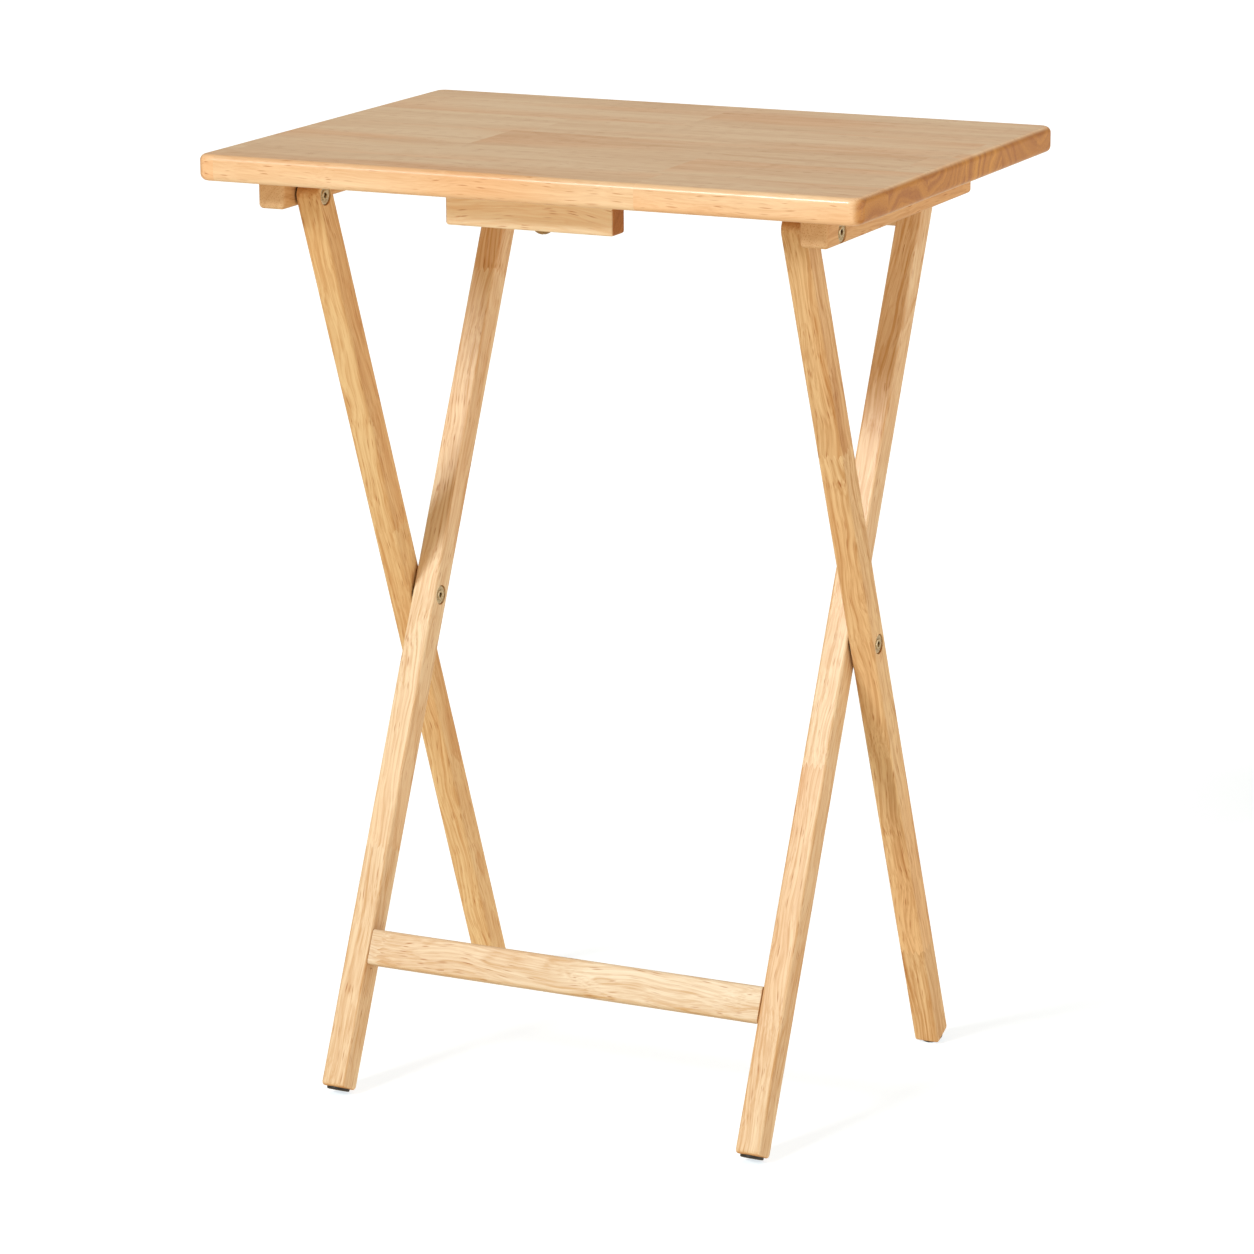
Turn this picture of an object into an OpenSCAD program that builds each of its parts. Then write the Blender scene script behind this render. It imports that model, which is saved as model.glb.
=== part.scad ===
// Folding tray table: a solid wooden top on two crossed pairs of legs.
// X runs along the long side of the top, Y runs to the back and Z up.
// The origin is on the floor, under the middle of the top.

/* [Table] */
// Length of the top, left to right
top_w = 480; // [440:1:520]
// Depth of the top, front to back
top_d = 350; // [340:1:400]
// Thickness of the top
top_t = 18; // [16:0.5:22]
// Height of the upper face above the floor
table_h = 660; // [640:1:680]
// Plan radius of the top's corners
top_corner_r = 9; // [8:0.5:16]
// Round-over along the top's edges
top_edge_r = 4.5; // [1:0.5:5]

/* [Legs] */
// Width over the outer legs
frame_w = 373; // [340:1:390]
// Leg thickness, left to right
leg_x = 18; // [17:0.5:22]
// Leg thickness, front to back
leg_d = 20; // [17:0.5:21]
// Rounding along a leg's edges
leg_edge_r = 2; // [1:0.25:3]
// Rounding round a leg's foot
foot_r = 3; // [2:0.25:4]
// Space between neighbouring legs, and between a leg and its cleat
leg_gap = 1.2; // [1.2:0.1:2]
// Height of the pivot where the legs cross
cross_z = 327; // [322:1:332]
// The same pivot, to the back of the middle of the top
cross_y = -6; // [-9:1:0]
// Lean of the outer legs, top to the front, in degrees
outer_lean = 21.5; // [21:0.1:22.5]
// Lean of the inner legs, top to the back, in degrees
inner_lean = 24.8; // [24:0.1:25.5]
// From the crossing to the top end of an inner leg
inner_up = 318; // [306:1:318]

/* [Stretcher and latch rail] */
// From the crossing down to the middle of the front stretcher
stretcher_down = 254.5; // [230:0.5:290]
// Height of the stretcher, measured along the leg
stretcher_h = 25; // [20:1:30]
// Thickness of the stretcher
stretcher_t = 17; // [15:0.5:18]
// Rounding along the stretcher's edges
stretcher_r = 3; // [1:0.5:4]
// From the crossing up to the latch rail
rail_up = 298.5; // [290:0.5:298.5]
// Radius of the latch rail
rail_r = 6; // [5.5:0.1:6]
// Radius of the rail's turned ends
rail_tenon_r = 4.75; // [4:0.05:5]

/* [Underside of the top] */
// Depth of the leg pivot below the underside
pivot_drop = 12.5; // [12:0.5:13]
// Width of a cleat
cleat_w = 20; // [16:0.5:21]
// Height of a cleat
cleat_h = 20.5; // [20.5:0.5:23]
// Front end of the cleats
cleat_front = -149; // [-154:1:-144]
// Back end of the cleats
cleat_back = 102; // [80:1:130]
// Rounding of the cleats
cleat_r = 3; // [1:0.25:3.5]
// Length of the hanger block
block_l = 123; // [100:1:140]
// Height of the hanger block
block_h = 23; // [20:0.5:23]
// Depth of the hanger block
block_d = 18; // [17:0.5:20]
// Front face of the hanger block
block_front = -145; // [-145:0.5:-143]
// Middle of the hanger block, left to right
block_mid = -6.5; // [-10:0.5:10]
// Rounding of the hanger block
block_r = 2.5; // [1:0.25:3]
// Middle of each latch catch, from the middle of the top
catch_mid = 105; // [80:1:125]
// Width of a latch catch
catch_w = 18; // [16:1:24]
// Direction in which the catch's slot opens, in degrees below the horizontal
slot_angle = 52; // [50:1:54]

/* [Hardware] */
// Radius of a pivot bolt's shank
shank_r = 3; // [2.5:0.1:3.2]
// Radius of a cap nut's barrel, the bearing of the pivot
barrel_r = 4; // [3.8:0.1:4.5]
// Radius of the bolt and nut heads
head_r = 6.5; // [6:0.1:6.6]
// Radius of the spacing washers
washer_r = 8; // [7:0.5:9]
// Radius of a foot glide
glide_r = 8; // [6:0.5:8.5]
// Thickness of a foot glide
glide_t = 1.75; // [1.5:0.25:3]

/* [Hidden] */

$fn = 64;
over = 1;                 // how far a cutter passes the face that it opens
fit = 0.05;               // running fit of a barrel in its bore, on the radius
ease = 0.1;               // glue or thread gap, on the radius
recess_ease = 0.4;        // gap round a head in its recess, on the radius

left = -1;
right = 1;
sides = [left, right];

underside_z = table_h - top_t;
pivot_z = underside_z - pivot_drop;
pivot_y = cross_y - (pivot_z - cross_z) * tan(outer_lean);
pivot_up = (pivot_z - cross_z) / cos(outer_lean);
outer_up = pivot_up + leg_d / 2;

outer_leg_out = frame_w / 2;
outer_leg_in = outer_leg_out - leg_x;
inner_leg_out = outer_leg_in - leg_gap;
inner_leg_in = inner_leg_out - leg_x;
cleat_in = outer_leg_out + leg_gap;
cleat_out = cleat_in + cleat_w;

head_t = 2;               // thickness of a bolt or nut head
recess_depth = 2.2;       // depth of the recess for a head
boss_r = 3.6;             // raised ring in the middle of a head
boss_t = 0.5;
socket_r = 2.3;           // hexagon socket, to its corners
socket_depth = 3;
barrel_reach = 10;        // how far a barrel passes into the second piece of wood

glide_rim_r = 0.8;        // rounding of a glide's rim
nail_r = 1;
nail_l = 14;
nail_head_r = 2.5;
nail_head_t = 1;

screw_r = 1.9;            // wood screws in the cleats and catches
screw_head_r = 3.8;
screw_head_t = 2.4;
screw_bite = 12;          // how far a screw enters the top
screw_sink = 3;           // how far a cleat screw's head is sunk

hanger_screw_y = block_front + block_d / 2;
hanger_head_r = 6.5;
hanger_head_t = 3.2;
hanger_shank_r = 2.4;

dowel_r = 4;
dowel_l = 30;
dowel_in_leg = 12;
dowel_step = 11;          // distance between the two dowels at one end
tenon_l = 12;

catch_foot_t = 14;        // thickness of a catch's screwed foot
catch_foot_back = 36;     // reach of the foot to the back of the rail
catch_foot_front = 32;
catch_hook_back = 19;     // reach of the hook to the back of the rail
catch_hook_front = 18;
catch_below = 6.6;        // reach of the hook below the rail's middle
catch_screw_inset = 7;
slot_ease = 0.45;         // clearance of the open pivot, on the radius

rail_y = cross_y + rail_up * sin(inner_lean);
rail_z = cross_z + rail_up * cos(inner_lean);

// Distance from the crossing to the cut end of a leg, so that its glide touches the floor
function leg_down(lean) =
    (cross_z - glide_rim_r - (glide_r - glide_rim_r) * sin(lean)) / cos(lean) - glide_t + glide_rim_r;

outer_down = leg_down(outer_lean);
inner_down = leg_down(inner_lean);

// ---- shared shapes ----

// Draws a right-hand piece, or its mirror image on the left
module on_side(side) {
    mirror([side == left ? 1 : 0, 0, 0]) children();
}

// Puts a piece at the pivot where the legs cross
module at_crossing() {
    translate([0, cross_y, cross_z]) children();
}

// Puts a piece that is drawn upright about the crossing into the outer frame
module in_outer_frame() {
    at_crossing() rotate([outer_lean, 0, 0]) children();
}

// The same for the inner frame, which leans the other way
module in_inner_frame() {
    at_crossing() rotate([-inner_lean, 0, 0]) children();
}

// Puts a piece at the pivot between the outer legs and the cleats
module at_top_pivot() {
    translate([0, pivot_y, pivot_z]) children();
}

// Points +Z outwards along +X
module along_x(x) {
    translate([x, 0, 0]) rotate([0, 90, 0]) children();
}

module rounded_rect(w, h, r) {
    square([w - 2 * r, h], center = true);
    square([w, h - 2 * r], center = true);
    for (x = [-1, 1], y = [-1, 1])
        translate([x * (w / 2 - r), y * (h / 2 - r)]) circle(r);
}

// A bar centred on the origin, with every edge rounded alike
module soft_bar(w, d, h, r) {
    rotate([90, 0, 90]) linear_extrude(w - 2 * r, center = true) rounded_rect(d, h, r);
    rotate([90, 0, 0]) linear_extrude(d - 2 * r, center = true) rounded_rect(w, h, r);
    linear_extrude(h - 2 * r, center = true) rounded_rect(w, d, r);
    for (x = [-1, 1], y = [-1, 1], z = [-1, 1])
        translate([x * (w / 2 - r), y * (d / 2 - r), z * (h / 2 - r)]) sphere(r);
}

// A soft bar under the top: square where it meets the underside, rounded elsewhere
module hung_bar(w, d, h, r) {
    intersection() {
        translate([0, 0, underside_z - (h - r) / 2]) soft_bar(w, d, h + r, r);
        translate([0, 0, underside_z - h - over])
            linear_extrude(h + over) square([w + 2 * over, d + 2 * over], center = true);
    }
}

// A wood screw with its point up and the rim of its flat head at z = 0
module wood_screw(length) {
    cylinder(screw_head_t, screw_head_r, screw_r);
    cylinder(length - 3 * screw_r, screw_r, screw_r);
    translate([0, 0, length - 3 * screw_r]) cylinder(3 * screw_r, screw_r, 0.3);
}

// The hole for that screw: countersunk, then clear through the piece
module screw_hole(length) {
    translate([0, 0, -over]) cylinder(over, screw_head_r + ease, screw_head_r + ease);
    cylinder(screw_head_t, screw_head_r + ease, screw_r + ease);
    cylinder(length, screw_r + ease, screw_r + ease);
}

// ---- the top and what is fixed to it ----

cleat_l = cleat_back - cleat_front;
cleat_mid = (cleat_back + cleat_front) / 2;
cleat_screw_ys = [cleat_mid - 0.28 * cleat_l, cleat_mid + 0.08 * cleat_l, cleat_mid + 0.42 * cleat_l];
cleat_screw_x = (cleat_in + cleat_out) / 2;
cleat_screw_z = underside_z - cleat_h + screw_sink;
catch_screw_ys = [rail_y - catch_foot_front + catch_screw_inset, rail_y + catch_foot_back - catch_screw_inset];

module at_cleat_screws() {
    for (side = sides, y = cleat_screw_ys)
        translate([side * cleat_screw_x, y, cleat_screw_z]) children();
}

module at_catch_screws() {
    for (side = sides, y = catch_screw_ys)
        translate([side * catch_mid, y, underside_z - catch_foot_t]) children();
}

module tabletop_blank() {
    rotate([90, 0, 90]) linear_extrude(top_w - 2 * top_corner_r, center = true)
        rounded_rect(top_d, top_t, top_edge_r);
    rotate([90, 0, 0]) linear_extrude(top_d - 2 * top_corner_r, center = true)
        rounded_rect(top_w, top_t, top_edge_r);
    for (x = [-1, 1], y = [-1, 1])
        translate([x * (top_w / 2 - top_corner_r), y * (top_d / 2 - top_corner_r), 0])
            rotate_extrude() corner_profile();
}

// Half section of the top's round corner
module corner_profile() {
    translate([0, -top_t / 2]) square([top_corner_r - top_edge_r, top_t]);
    translate([0, -top_t / 2 + top_edge_r]) square([top_corner_r, top_t - 2 * top_edge_r]);
    for (y = [-1, 1])
        translate([top_corner_r - top_edge_r, y * (top_t / 2 - top_edge_r)]) circle(top_edge_r);
}

module tabletop() {
    color("burlywood") difference() {
        translate([0, 0, table_h - top_t / 2]) tabletop_blank();
        at_cleat_screws() cylinder(cleat_h - screw_sink + screw_bite + ease, screw_r + ease, screw_r + ease);
        at_catch_screws() cylinder(catch_foot_t + screw_bite + ease, screw_r + ease, screw_r + ease);
        translate([0, hanger_screw_y, underside_z - over])
            cylinder(over + screw_bite + ease, hanger_shank_r + ease, hanger_shank_r + ease);
    }
}

module cleat(side) {
    color("burlywood") difference() {
        on_side(side) difference() {
            translate([(cleat_in + cleat_out) / 2, cleat_mid, 0]) hung_bar(cleat_w, cleat_l, cleat_h, cleat_r);
            at_top_pivot() {
                along_x(cleat_in - over) cylinder(cleat_w + 2 * over, barrel_r + ease, barrel_r + ease);
                along_x(cleat_out - recess_depth)
                    cylinder(recess_depth + over, head_r + recess_ease, head_r + recess_ease);
            }
        }
        at_cleat_screws() {
            screw_hole(cleat_h);
            translate([0, 0, -screw_sink - over])
                cylinder(screw_sink + over, screw_head_r + ease, screw_head_r + ease);
        }
    }
}

module cleat_screws() {
    color("goldenrod") at_cleat_screws() wood_screw(cleat_h - screw_sink + screw_bite);
}

module hanger_block() {
    color("burlywood") difference() {
        translate([block_mid, block_front + block_d / 2, 0]) hung_bar(block_l, block_d, block_h, block_r);
        translate([0, hanger_screw_y, underside_z - block_h - over])
            cylinder(block_h + 2 * over, hanger_shank_r + ease, hanger_shank_r + ease);
    }
}

// Round-headed screw up through the hanger block
module hanger_screw() {
    dome_r = (hanger_head_r * hanger_head_r + hanger_head_t * hanger_head_t) / (2 * hanger_head_t);
    color("peru") translate([0, hanger_screw_y, underside_z - block_h]) {
        difference() {
            rotate_extrude() intersection() {
                translate([0, dome_r - hanger_head_t]) circle(dome_r);
                translate([0, -hanger_head_t]) square([hanger_head_r, hanger_head_t]);
            }
            for (turn = [0, 90])
                rotate([0, 0, turn]) translate([0, 0, -hanger_head_t]) cube([6, 1.2, 2.4], center = true);
        }
        cylinder(block_h + screw_bite, hanger_shank_r, hanger_shank_r);
    }
}

// Hook under the top: its slot holds the latch rail and opens down and to the front
module catch(side) {
    foot_front = rail_y - catch_foot_front;
    foot_back = rail_y + catch_foot_back;
    hook_front = rail_y - catch_hook_front;
    hook_back = rail_y + catch_hook_back;
    foot_z = underside_z - catch_foot_t;
    hook_z = rail_z - catch_below;
    slot_r = rail_r + slot_ease;
    color("burlywood") difference() {
        translate([side * catch_mid - catch_w / 2, 0, 0]) rotate([90, 0, 90]) linear_extrude(catch_w)
            polygon([[foot_front, underside_z], [foot_back, underside_z], [foot_back, foot_z + 4],
                     [foot_back - 4, foot_z], [hook_back, foot_z], [hook_back, hook_z + 5],
                     [hook_back - 5, hook_z], [hook_front + 5, hook_z], [hook_front, hook_z + 5],
                     [hook_front, foot_z], [foot_front + 4, foot_z], [foot_front, foot_z + 4]]);
        translate([side * catch_mid, rail_y, rail_z]) {
            along_x(-catch_w / 2 - over) cylinder(catch_w + 2 * over, slot_r, slot_r);
            rotate([slot_angle, 0, 0]) translate([-catch_w / 2 - over, -4 * slot_r, -slot_r])
                cube([catch_w + 2 * over, 4 * slot_r, 2 * slot_r]);
        }
        at_catch_screws() screw_hole(catch_foot_t + over);
    }
}

module catch_screws() {
    color("goldenrod") at_catch_screws() wood_screw(catch_foot_t + screw_bite);
}

// ---- pivot hardware ----

// Head with a raised ring and a hexagon socket, its outer face at z = 0 and the socket from above
module socket_head() {
    difference() {
        union() {
            translate([0, 0, -head_t]) cylinder(head_t - 0.4, head_r, head_r);
            translate([0, 0, -0.4]) cylinder(0.4, head_r, head_r - 0.4);
            cylinder(boss_t, boss_r, boss_r - 0.4);
        }
        translate([0, 0, boss_t - socket_depth]) cylinder(socket_depth + over, socket_r, socket_r, $fn = 6);
    }
}

// Bolt from the outside: its head is let into the outer piece's face at x = face
module pivot_bolt(face, inner_face) {
    along_x(face - ease) difference() {
        union() {
            socket_head();
            translate([0, 0, -(face - inner_face - recess_depth - 4)])
                cylinder(face - inner_face - recess_depth - 4 - head_t, shank_r, shank_r);
        }
        translate([0, 0, boss_t - socket_depth]) cylinder(socket_depth + over, socket_r, socket_r, $fn = 6);
    }
}

// Cap nut from the inside: its long barrel is the bearing
module pivot_nut(face, barrel_end) {
    along_x(face + ease) mirror([0, 0, 1]) difference() {
        union() {
            socket_head();
            translate([0, 0, -(barrel_end - face)])
                cylinder(barrel_end - face - head_t + over / 2, barrel_r, barrel_r);
        }
        translate([0, 0, -(barrel_end - face) - over])
            cylinder(barrel_end - face - 2, shank_r + ease, shank_r + ease);
        translate([0, 0, boss_t - socket_depth]) cylinder(socket_depth + over, socket_r, socket_r, $fn = 6);
    }
}

module washer(x) {
    along_x(x + ease) difference() {
        cylinder(leg_gap - 2 * ease, washer_r, washer_r);
        translate([0, 0, -over]) cylinder(leg_gap + 2 * over, barrel_r + ease, barrel_r + ease);
    }
}

module top_bolt(side) {
    color("darkgoldenrod") on_side(side) at_top_pivot() pivot_bolt(cleat_out, outer_leg_in);
}

module top_nut(side) {
    color("darkgoldenrod") on_side(side) at_top_pivot() pivot_nut(outer_leg_in, cleat_in + barrel_reach);
}

module top_washer(side) {
    color("dimgray") on_side(side) at_top_pivot() washer(outer_leg_out);
}

module cross_bolt(side) {
    color("darkgoldenrod") on_side(side) at_crossing() pivot_bolt(outer_leg_out, inner_leg_in);
}

module cross_nut(side) {
    color("darkkhaki") on_side(side) at_crossing()
        pivot_nut(inner_leg_in, outer_leg_in + barrel_reach);
}

module cross_washer(side) {
    color("dimgray") on_side(side) at_crossing() washer(inner_leg_out);
}

// ---- legs ----

// Side outline: round at the top end, softly cornered at the foot
module leg_side_outline(up, down) {
    round_z = up - leg_d / 2;
    translate([-leg_d / 2, -down + foot_r]) square([leg_d, round_z + down - foot_r]);
    translate([0, round_z]) circle(leg_d / 2);
    translate([-leg_d / 2 + foot_r, -down]) square([leg_d - 2 * foot_r, foot_r + over]);
    for (y = [-1, 1]) translate([y * (leg_d / 2 - foot_r), -down + foot_r]) circle(foot_r);
}

// Leg drawn upright about its crossing pivot, reaching up and down from it
module leg_blank(x, up, down) {
    translate([x + leg_x / 2, 0, 0]) intersection() {
        translate([0, 0, -down - over]) linear_extrude(up + down + 2 * over)
            rounded_rect(leg_x, leg_d, leg_edge_r);
        rotate([90, 0, 90]) linear_extrude(leg_x + 2 * over, center = true) leg_side_outline(up, down);
        rotate([90, 0, 0]) linear_extrude(leg_d + 2 * over, center = true)
            translate([0, (up - down) / 2]) rounded_rect(leg_x, up + down, foot_r);
    }
}

module nail_hole(x, down) {
    translate([x + leg_x / 2, 0, -down - over])
        cylinder(over + nail_l, nail_r + ease, nail_r + ease);
}

module outer_leg(side) {
    color("tan") on_side(side) in_outer_frame() difference() {
        leg_blank(outer_leg_in, outer_up, outer_down);
        for (z = [0, pivot_up])
            translate([0, 0, z]) along_x(outer_leg_in - over)
                cylinder(leg_x + 2 * over, barrel_r + fit, barrel_r + fit);
        along_x(outer_leg_out - recess_depth)
            cylinder(recess_depth + over, head_r + recess_ease, head_r + recess_ease);
        translate([0, 0, pivot_up]) along_x(outer_leg_in - over)
            cylinder(recess_depth + over, head_r + recess_ease, head_r + recess_ease);
        nail_hole(outer_leg_in, outer_down);
    }
}

stretcher_y = -(leg_d - stretcher_t) / 2;

module at_stretcher_dowels() {
    for (z = [-1, 1])
        translate([0, stretcher_y, -stretcher_down + z * dowel_step / 2]) children();
}

module inner_leg(side) {
    color("wheat") on_side(side) in_inner_frame() difference() {
        leg_blank(inner_leg_in, inner_up, inner_down);
        along_x(inner_leg_in - over) cylinder(leg_x + 2 * over, barrel_r + fit, barrel_r + fit);
        along_x(inner_leg_in - over)
            cylinder(recess_depth + over, head_r + recess_ease, head_r + recess_ease);
        translate([0, 0, rail_up]) along_x(inner_leg_in - over)
            cylinder(tenon_l + over + ease, rail_tenon_r + ease, rail_tenon_r + ease);
        at_stretcher_dowels() along_x(inner_leg_in - over)
            cylinder(dowel_in_leg + over + ease, dowel_r + ease, dowel_r + ease);
        nail_hole(inner_leg_in, inner_down);
    }
}

module front_stretcher() {
    color("wheat") in_inner_frame() difference() {
        translate([0, stretcher_y, -stretcher_down]) rotate([90, 0, 90])
            linear_extrude(2 * inner_leg_in, center = true)
                rounded_rect(stretcher_t, stretcher_h, stretcher_r);
        for (side = sides) on_side(side)
            at_stretcher_dowels() along_x(inner_leg_in - dowel_l + dowel_in_leg - ease)
                cylinder(dowel_l, dowel_r + ease, dowel_r + ease);
    }
}

module stretcher_dowels() {
    color("burlywood") in_inner_frame()
        for (side = sides) on_side(side)
            at_stretcher_dowels() along_x(inner_leg_in + dowel_in_leg - dowel_l)
                cylinder(dowel_l, dowel_r, dowel_r);
}

// Round rail between the tops of the inner legs, which the catches hold
module latch_rail() {
    color("wheat") in_inner_frame() translate([0, 0, rail_up]) {
        along_x(-inner_leg_in) cylinder(2 * inner_leg_in, rail_r, rail_r);
        along_x(-inner_leg_in - tenon_l) cylinder(2 * (inner_leg_in + tenon_l), rail_tenon_r, rail_tenon_r);
    }
}

// ---- feet ----

// Glide under a leg's end, drawn with its seat at z = 0 and hanging below it
module glide_shape() {
    difference() {
        rotate_extrude() {
            translate([0, -glide_t + glide_rim_r]) square([glide_r, glide_t - glide_rim_r]);
            translate([0, -glide_t]) square([glide_r - glide_rim_r, glide_rim_r + ease]);
            translate([glide_r - glide_rim_r, -glide_t + glide_rim_r]) circle(glide_rim_r);
        }
        translate([0, 0, -glide_t - over]) cylinder(glide_t + 2 * over, nail_r + ease, nail_r + ease);
        translate([0, 0, -glide_t - over])
            cylinder(over + nail_head_t + ease, nail_head_r + ease, nail_head_r + ease);
    }
}

module glide_nail() {
    translate([0, 0, -glide_t]) cylinder(nail_head_t, nail_head_r, nail_head_r);
    translate([0, 0, -glide_t]) cylinder(nail_l, nail_r, nail_r);
}

module outer_glide(side) {
    color("dimgray") on_side(side) in_outer_frame()
        translate([outer_leg_in + leg_x / 2, 0, -outer_down]) glide_shape();
}

module inner_glide(side) {
    color("dimgray") on_side(side) in_inner_frame()
        translate([inner_leg_in + leg_x / 2, 0, -inner_down]) glide_shape();
}

module outer_glide_nails() {
    color("silver") for (side = sides) on_side(side) in_outer_frame()
        translate([outer_leg_in + leg_x / 2, 0, -outer_down]) glide_nail();
}

module inner_glide_nails() {
    color("silver") for (side = sides) on_side(side) in_inner_frame()
        translate([inner_leg_in + leg_x / 2, 0, -inner_down]) glide_nail();
}

tabletop();
cleat(left);  // left_cleat
cleat(right);  // right_cleat
cleat_screws();
hanger_block();
hanger_screw();
catch(left);  // left_catch
catch(right);  // right_catch
catch_screws();
top_bolt(left);  // left_top_bolt
top_bolt(right);  // right_top_bolt
top_nut(left);  // left_top_nut
top_nut(right);  // right_top_nut
top_washer(left);  // left_top_washer
top_washer(right);  // right_top_washer
outer_leg(left);  // left_outer_leg
outer_leg(right);  // right_outer_leg
outer_glide(left);  // left_outer_glide
outer_glide(right);  // right_outer_glide
outer_glide_nails();
cross_bolt(left);  // left_cross_bolt
cross_bolt(right);  // right_cross_bolt
cross_nut(left);  // left_cross_nut
cross_nut(right);  // right_cross_nut
cross_washer(left);  // left_cross_washer
cross_washer(right);  // right_cross_washer
inner_leg(left);  // left_inner_leg
inner_leg(right);  // right_inner_leg
front_stretcher();
stretcher_dowels();
latch_rail();
inner_glide(left);  // left_inner_glide
inner_glide(right);  // right_inner_glide
inner_glide_nails();
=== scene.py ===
"""Looks of the folding tray table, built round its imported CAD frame. Lengths are in metres."""

import math

import bmesh
import bpy
from mathutils import Matrix, Vector, noise


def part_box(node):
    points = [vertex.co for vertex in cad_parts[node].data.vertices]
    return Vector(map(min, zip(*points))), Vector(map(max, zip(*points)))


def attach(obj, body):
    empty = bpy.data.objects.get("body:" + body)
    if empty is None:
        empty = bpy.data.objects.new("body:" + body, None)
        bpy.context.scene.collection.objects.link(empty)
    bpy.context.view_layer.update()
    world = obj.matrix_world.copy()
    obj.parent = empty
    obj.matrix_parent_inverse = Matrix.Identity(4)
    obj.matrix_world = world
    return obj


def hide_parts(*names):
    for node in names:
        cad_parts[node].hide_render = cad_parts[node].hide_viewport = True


MM = 0.001
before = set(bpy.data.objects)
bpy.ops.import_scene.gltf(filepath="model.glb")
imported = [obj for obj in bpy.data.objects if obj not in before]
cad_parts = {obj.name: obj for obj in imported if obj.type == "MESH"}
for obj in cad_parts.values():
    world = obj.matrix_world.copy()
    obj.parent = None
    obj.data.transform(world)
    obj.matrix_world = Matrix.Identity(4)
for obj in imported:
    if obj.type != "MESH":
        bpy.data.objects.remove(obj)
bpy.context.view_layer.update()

X = Vector((1, 0, 0))
Y = Vector((0, 1, 0))
Z = Vector((0, 0, 1))
RIGHT = 1
SIDES = {"left": -RIGHT, "right": RIGHT}

WELD = 0.001 * MM         # points nearer than this are one point
SPECK = 0.01 * MM         # a length too small to see
CRISP = 38                # degrees between two faces, from which their edge is drawn sharp
HEAD_CRISP = 30           # the same for the fine profile of a bolt head

# Radii of rounded edges and corners, which the boxes of the CAD nodes don't give
TOP_CORNER = 9 * MM
TOP_EDGE = 4.5 * MM
LEG_EDGE = 1.8 * MM
FOOT_CORNER = 3 * MM
STRETCHER_EDGE = 2.5 * MM
STRETCHER_END = 0.7 * MM
CLEAT_EDGE = 3 * MM
BLOCK_EDGE = 2.2 * MM
CATCH_EDGE = 1.2 * MM
HOLE_EDGE = 0.3 * MM

# Hand sanding leaves hollows of these depths, about a pitch apart
SANDING = 0.12 * MM
LIGHT_SANDING = 0.08 * MM
TOP_SANDING = 0.06 * MM
SANDING_PITCH = 34 * MM
TOP_PITCH = 70 * MM
LEG_SLICE = 12 * MM       # the meshes are sliced at these steps, so that they can take the hollows
BAR_SLICE = 14 * MM
TOP_SLICE = 24 * MM

# Wood
RAIL_TENON = 4.75 * MM    # radius of the rail's ends, inside the legs
PIN_RADIUS = 0.7 * MM
PIN_DEPTH = 3 * MM
PIN_DROP = 2.5 * MM       # how far the pin hole is below the stretcher
CATCH_FOOT = 14 * MM      # thickness of a catch where it is screwed to the top
CATCH_FRONT = 18 * MM     # from the rail to the front of a catch's hook
CATCH_BACK = 19 * MM      # from the rail to its back
CATCH_BEND = 4 * MM       # cut off the corners of a catch's foot
CATCH_TIP = 5 * MM        # cut off the corners of its hook
SLOT_REACH = 30 * MM      # half the length of the cutter for a catch's slot
SLOT_EASE = 0.45 * MM     # round the rail in its slot
SLOT_ANGLE = math.radians(52)
STAVE_WIDTH = 67 * MM     # of the staves that the top is glued up from
STAVE_START = -127.5 * MM  # one of their glue lines

# Bolts, nuts and screws
HEAD_RECESS = 6.9 * MM    # radius of the recess round a bolt head
HEAD_RECESS_DEPTH = 2.2 * MM
HEAD_RIM = 6.5 * MM
HEAD_SINK = 0.35 * MM     # how far a head's raised ring sits below the wood
HEAD_THICK = 1.9 * MM     # from that ring to the back of the head
HEAD_PROUD = 0.4 * MM     # how far the CAD head stands out of the wood
SOCKET = 2.1 * MM         # radius to the corners of the hexagon
SOCKET_DEPTH = 2.8 * MM
BOLT_SHANK = 3 * MM
NUT_BARREL = 4 * MM
PLAY = 0.1 * MM           # between a hole and what goes through it
SCREW_HEAD = 3.8 * MM
SCREW_SHANK = 1.9 * MM
SCREW_SINK = {"cleat": 3 * MM, "catch": 1.4 * MM}
NAIL_LENGTH = 14 * MM


# ---- places worked out from the frame ----

def centre(node):
    """The middle of a node's box."""
    low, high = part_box(node)
    return (low + high) / 2


def side_point(node):
    """The middle of a node in the side view, moved to the plane between left and right."""
    point = centre(node)
    return Vector((0, point.y, point.z))


CROSSING = side_point("left_cross_bolt")
TOP_PIVOT = side_point("left_top_bolt")
RAIL = side_point("latch_rail")
UP_OUTER = (TOP_PIVOT - CROSSING).normalized()
UP_INNER = (RAIL - CROSSING).normalized()


def turned_to(grain, across):
    """Rotation whose x axis is the grain and whose z axis points across it."""
    x = grain.normalized()
    z = (across - across.project(x)).normalized()
    return Matrix((x, z.cross(x), z)).transposed()


def fitted(node, grain, across):
    """Place and half size of a CAD node's box, measured along its own grain."""
    turn = turned_to(grain, across)
    points = [turn.transposed() @ v.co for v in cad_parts[node].data.vertices]
    low = Vector([min(p[i] for p in points) for i in range(3)])
    high = Vector([max(p[i] for p in points) for i in range(3)])
    place = Matrix.Translation(turn @ ((low + high) / 2)) @ turn.to_4x4()
    return place, (high - low) / 2


# ---- mesh building ----

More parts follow.
